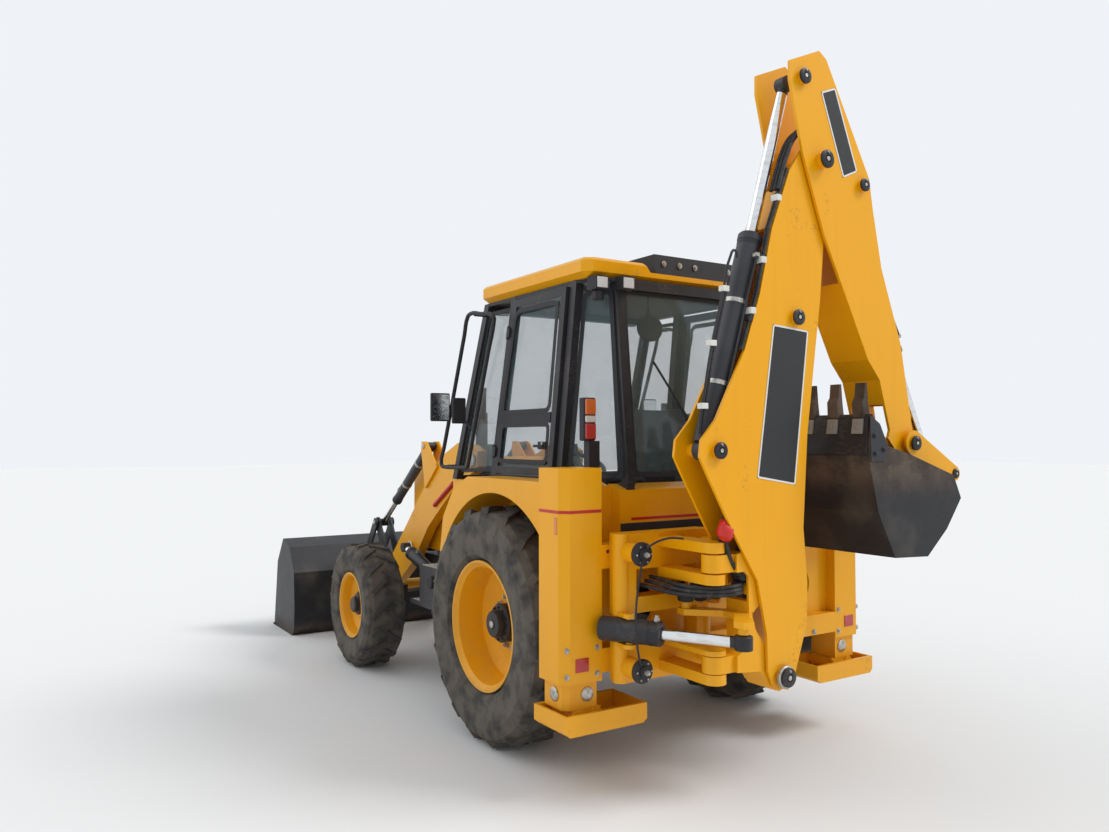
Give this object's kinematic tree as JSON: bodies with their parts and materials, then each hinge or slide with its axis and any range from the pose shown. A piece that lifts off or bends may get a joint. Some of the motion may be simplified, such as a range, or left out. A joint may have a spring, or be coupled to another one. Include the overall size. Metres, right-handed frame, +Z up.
{
  "type": "backhoe loader",
  "caption": "Wheeled digging and loading machine: glazed cab, front shovel on lifting arms, and a rear jointed digging arm on a side-shifting carriage, parked folded to one side.",
  "frame": {"origin": "centre of the bounding box on the ground plane", "axes": "+X towards the front shovel, +Y to the machine's left, +Z up"},
  "size_m": [5.844, 2.364, 3.7881],
  "materials": {
    "body_paint": "weathered amber yellow paint",
    "black_paint": "worn black paint",
    "dark_trim": "matt dark grey",
    "engine_iron": "oily cast iron",
    "seat_fabric": "dark woven cloth",
    "lamp_plastic": "glossy lens",
    "rod_chrome": "hard chrome",
    "tyre_rubber": "dusty rubber",
    "cab_glass": "faintly green clear glass"
  },
  "bodies": {
    "chassis": {"chassis": "black_paint", "rear_axle": "black_paint", "front_axle": "black_paint", "engine_block": "engine_iron", "grille": "black_paint", "cab_body": "body_paint", "cab_frame": "black_paint", "cab_roof": "body_paint", "air_hood": "black_paint", "cab_glass": "cab_glass", "seat": "seat_fabric", "controls": "dark_trim", "side_steps": "dark_trim", "mirrors": "black_paint", "lamps": "lamp_plastic", "rear_frame": "body_paint"},
    "bonnet": {"bonnet": "body_paint", "exhaust": "black_paint"},
    "rear_wheel_left": {"rear_rim_left": "body_paint", "rear_tyre_left": "tyre_rubber"},
    "knuckle_left": {"knuckle_left": "black_paint"},
    "front_wheel_left": {"front_rim_left": "body_paint", "front_tyre_left": "tyre_rubber"},
    "door_left": {"door_left": "black_paint", "door_glass_left": "cab_glass"},
    "stab_leg_left": {"stab_leg_left": "body_paint"},
    "slew_barrel_left": {"slew_barrel_left": "black_paint"},
    "slew_rod_left": {"slew_rod_left": "rod_chrome"},
    "rear_wheel_right": {"rear_rim_right": "body_paint", "rear_tyre_right": "tyre_rubber"},
    "knuckle_right": {"knuckle_right": "black_paint"},
    "front_wheel_right": {"front_rim_right": "body_paint", "front_tyre_right": "tyre_rubber"},
    "door_right": {"door_right": "black_paint", "door_glass_right": "cab_glass"},
    "stab_leg_right": {"stab_leg_right": "body_paint"},
    "slew_barrel_right": {"slew_barrel_right": "black_paint"},
    "slew_rod_right": {"slew_rod_right": "rod_chrome"},
    "loader_arms": {"loader_arms": "body_paint"},
    "lift_barrels": {"lift_barrels": "black_paint"},
    "lift_rods": {"lift_rods": "rod_chrome"},
    "tilt_barrels": {"tilt_barrels": "black_paint"},
    "tilt_rods": {"tilt_rods": "rod_chrome"},
    "tilt_levers": {"tilt_levers": "black_paint"},
    "tilt_links": {"tilt_links": "black_paint"},
    "shovel": {"shovel": "black_paint"},
    "carriage": {"carriage": "body_paint"},
    "kingpost": {"kingpost": "body_paint"},
    "boom": {"boom": "body_paint", "boom_hoses": "black_paint"},
    "boom_barrel": {"boom_barrel": "black_paint"},
    "boom_rod": {"boom_rod": "rod_chrome"},
    "dipper": {"dipper": "body_paint"},
    "dipper_barrel": {"dipper_barrel": "black_paint"},
    "dipper_rod": {"dipper_rod": "rod_chrome"},
    "bucket_barrel": {"bucket_barrel": "black_paint"},
    "bucket_rod": {"bucket_rod": "rod_chrome"},
    "bucket_lever": {"bucket_lever": "body_paint"},
    "bucket_link": {"bucket_link": "black_paint"},
    "bucket": {"bucket": "black_paint"}
  },
  "joints": [
    {"name": "rear_wheel_left_spin", "type": "hinge", "parent": "chassis", "child": "rear_wheel_left", "pos_m": [-1.208, 0.917, 0.69], "axis": [0, 1, 0], "continuous": true},
    {"name": "steer_left", "type": "hinge", "parent": "chassis", "child": "knuckle_left", "pos_m": [0.962, 0.822, 0.476], "axis": [0, 0, 1], "range_deg": [-34, 34]},
    {"name": "front_wheel_left_spin", "type": "hinge", "parent": "knuckle_left", "child": "front_wheel_left", "pos_m": [0.962, 0.977, 0.476], "axis": [0, 1, 0], "continuous": true},
    {"name": "rear_wheel_right_spin", "type": "hinge", "parent": "chassis", "child": "rear_wheel_right", "pos_m": [-1.208, -0.853, 0.69], "axis": [0, 1, 0], "continuous": true},
    {"name": "steer_right", "type": "hinge", "parent": "chassis", "child": "knuckle_right", "pos_m": [0.962, -0.758, 0.476], "axis": [0, 0, 1], "range_deg": [-34, 34]},
    {"name": "front_wheel_right_spin", "type": "hinge", "parent": "knuckle_right", "child": "front_wheel_right", "pos_m": [0.962, -0.913, 0.476], "axis": [0, 1, 0], "continuous": true},
    {"name": "door_left_hinge", "type": "hinge", "parent": "chassis", "child": "door_left", "pos_m": [-0.81, 0.7898, 1.7], "axis": [0.169, 0.0404, -0.9848], "range_deg": [0, 85]},
    {"name": "door_right_hinge", "type": "hinge", "parent": "chassis", "child": "door_right", "pos_m": [-0.81, -0.7258, 1.7], "axis": [-0.169, 0.0404, 0.9848], "range_deg": [0, 85]},
    {"name": "bonnet_hinge", "type": "hinge", "parent": "chassis", "child": "bonnet", "pos_m": [0.232, 0.032, 1.59], "axis": [0, -1, 0], "range_deg": [0, 50]},
    {"name": "loader_lift", "type": "hinge", "parent": "chassis", "child": "loader_arms", "pos_m": [0.042, 0.032, 1.62], "axis": [0, -1, 0], "range_deg": [0, 79]},
    {"name": "lift_barrel_pivot", "type": "hinge", "parent": "chassis", "child": "lift_barrels", "pos_m": [-0.108, 0.032, 0.5], "axis": [0, -1, 0], "range_deg": [-1, 46.84]},
    {"name": "lift_rod_slide", "type": "slide", "parent": "lift_barrels", "child": "lift_rods", "axis": [0.9601, 0, 0.2797], "range_m": [-0.01, 1.0369]},
    {"name": "shovel_tilt", "type": "hinge", "parent": "loader_arms", "child": "shovel", "pos_m": [2.122, 0.032, 0.285], "axis": [0, 1, 0], "range_deg": [-45, 95]},
    {"name": "tilt_lever_pivot", "type": "hinge", "parent": "loader_arms", "child": "tilt_levers", "pos_m": [1.612, 0.032, 0.61], "axis": [0, 1, 0], "range_deg": [-30.72, 63.74]},
    {"name": "tilt_link_pivot", "type": "hinge", "parent": "tilt_levers", "child": "tilt_links", "pos_m": [1.892, 0.032, 1.02], "axis": [0, 1, 0], "range_deg": [-72.21, 34.73]},
    {"name": "tilt_barrel_pivot", "type": "hinge", "parent": "loader_arms", "child": "tilt_barrels", "pos_m": [0.882, 0.032, 1.72], "axis": [0, 1, 0], "range_deg": [-5.28, 10.04]},
    {"name": "tilt_rod_slide", "type": "slide", "parent": "tilt_barrels", "child": "tilt_rods", "axis": [0.8219, 0, -0.5696], "range_m": [-0.2299, 0.4742]},
    {"name": "sideshift", "type": "slide", "parent": "chassis", "child": "carriage", "axis": [0, -1, 0], "range_m": [0, 1.08]},
    {"name": "slew", "type": "hinge", "parent": "carriage", "child": "kingpost", "pos_m": [-2.608, 0.572, 0.9], "axis": [0, 0, -1], "range_deg": [0, 180]},
    {"name": "slew_barrel_left_pivot", "type": "hinge", "parent": "carriage", "child": "slew_barrel_left", "pos_m": [-2.308, 0.852, 0.83], "axis": [0, 0, 1], "range_deg": [-1, 42.1]},
    {"name": "slew_rod_left_slide", "type": "slide", "parent": "slew_barrel_left", "child": "slew_rod_left", "axis": [-0.8725, -0.4886, 0], "range_m": [-0.2807, 0.005]},
    {"name": "slew_barrel_right_pivot", "type": "hinge", "parent": "carriage", "child": "slew_barrel_right", "pos_m": [-2.308, 0.292, 1], "axis": [0, 0, 1], "range_deg": [-1, 42.1]},
    {"name": "slew_rod_right_slide", "type": "slide", "parent": "slew_barrel_right", "child": "slew_rod_right", "axis": [-0.3363, 0.9417, 0], "range_m": [-0.005, 0.2807]},
    {"name": "boom_swing", "type": "hinge", "parent": "kingpost", "child": "boom", "pos_m": [-2.608, 0.212, 0.605], "axis": [1, 0, 0], "range_deg": [0, 130]},
    {"name": "boom_barrel_pivot", "type": "hinge", "parent": "kingpost", "child": "boom_barrel", "pos_m": [-2.608, 0.382, 1.04], "axis": [1, 0, 0], "range_deg": [-1, 130.35]},
    {"name": "boom_rod_slide", "type": "slide", "parent": "boom_barrel", "child": "boom_rod", "axis": [0, -0.2089, 0.9779], "range_m": [-0.005, 0.8459]},
    {"name": "dipper_swing", "type": "hinge", "parent": "boom", "child": "dipper", "pos_m": [-2.608, -0.078, 3.21], "axis": [-1, 0, 0], "range_deg": [0, 110]},
    {"name": "dipper_barrel_pivot", "type": "hinge", "parent": "boom", "child": "dipper_barrel", "pos_m": [-2.608, 0.632, 1.72], "axis": [1, 0, 0], "range_deg": [-1, 1.09]},
    {"name": "dipper_rod_slide", "type": "slide", "parent": "dipper_barrel", "child": "dipper_rod", "axis": [0, -0.2899, 0.957], "range_m": [-0.7091, 0.005]},
    {"name": "bucket_swing", "type": "hinge", "parent": "dipper", "child": "bucket", "pos_m": [-2.608, -1.008, 1.53], "axis": [-1, 0, 0], "range_deg": [0, 180]},
    {"name": "bucket_lever_pivot", "type": "hinge", "parent": "dipper", "child": "bucket_lever", "pos_m": [-2.608, -0.768, 1.75], "axis": [-1, 0, 0], "range_deg": [-1, 86.48]},
    {"name": "bucket_link_pivot", "type": "hinge", "parent": "bucket_lever", "child": "bucket_link", "pos_m": [-2.608, -1.14, 1.575], "axis": [-1, 0, 0], "range_deg": [-49.46, 1]},
    {"name": "bucket_barrel_pivot", "type": "hinge", "parent": "dipper", "child": "bucket_barrel", "pos_m": [-2.608, -0.398, 3.13], "axis": [-1, 0, 0], "range_deg": [-1, 4.78]},
    {"name": "bucket_rod_slide", "type": "slide", "parent": "bucket_barrel", "child": "bucket_rod", "axis": [0, -0.4307, -0.9025], "range_m": [-0.5551, 0.005]},
    {"name": "stabiliser_left_slide", "type": "slide", "parent": "chassis", "child": "stab_leg_left", "axis": [0, 0, -1], "range_m": [0, 0.4]},
    {"name": "stabiliser_right_slide", "type": "slide", "parent": "chassis", "child": "stab_leg_right", "axis": [0, 0, -1], "range_m": [0, 0.4]}
  ],
  "couplings": [
    {"joint": "steer_right", "follows": "steer_left", "ratio": 1},
    {"joint": "lift_barrel_pivot", "follows": "loader_lift", "ratio": 0.58031},
    {"joint": "lift_rod_slide", "follows": "loader_lift", "m_per_rad": 0.74475},
    {"joint": "tilt_lever_pivot", "follows": "shovel_tilt", "ratio": 0.66037},
    {"joint": "tilt_link_pivot", "follows": "shovel_tilt", "ratio": -0.74957},
    {"joint": "tilt_barrel_pivot", "follows": "shovel_tilt", "ratio": 0.095151},
    {"joint": "tilt_rod_slide", "follows": "shovel_tilt", "m_per_rad": 0.27996},
    {"joint": "slew_barrel_left_pivot", "follows": "slew", "ratio": 0.22832},
    {"joint": "slew_rod_left_slide", "follows": "slew", "m_per_rad": -0.087771},
    {"joint": "slew_barrel_right_pivot", "follows": "slew", "ratio": 0.22832},
    {"joint": "slew_rod_right_slide", "follows": "slew", "m_per_rad": 0.087771},
    {"joint": "boom_barrel_pivot", "follows": "boom_swing", "ratio": 0.995},
    {"joint": "boom_rod_slide", "follows": "boom_swing", "m_per_rad": 0.37062},
    {"joint": "dipper_barrel_pivot", "follows": "dipper_swing", "ratio": 0.000814},
    {"joint": "dipper_rod_slide", "follows": "dipper_swing", "m_per_rad": -0.36673},
    {"joint": "bucket_lever_pivot", "follows": "bucket_swing", "ratio": 0.4749},
    {"joint": "bucket_link_pivot", "follows": "bucket_swing", "ratio": -0.26925},
    {"joint": "bucket_barrel_pivot", "follows": "bucket_swing", "ratio": 0.020993},
    {"joint": "bucket_rod_slide", "follows": "bucket_swing", "m_per_rad": -0.1751}
  ]
}
